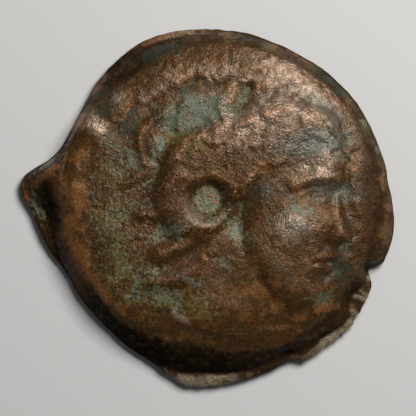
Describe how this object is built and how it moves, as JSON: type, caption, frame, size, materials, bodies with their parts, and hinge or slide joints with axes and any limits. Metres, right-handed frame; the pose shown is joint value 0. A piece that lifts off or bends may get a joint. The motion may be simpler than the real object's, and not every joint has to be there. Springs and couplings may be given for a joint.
{
  "type": "ancient bronze coin",
  "caption": "Thick worn cast and struck bronze coin with bevelled edge, a wreathed head in relief, a central dimple and flash along its rim.",
  "frame": {"origin": "centre of the coin's bounding box at its underside, where it lies on the table", "axes": "+Z out of the struck head side, +Y towards the top of the head, +X the way the head faces"},
  "size_m": [0.0282, 0.027, 0.0046],
  "materials": {
    "bronze": "worn dark bronze with green-grey patina"
  },
  "bodies": {
    "root": {"coin": "bronze"}
  },
  "joints": []
}
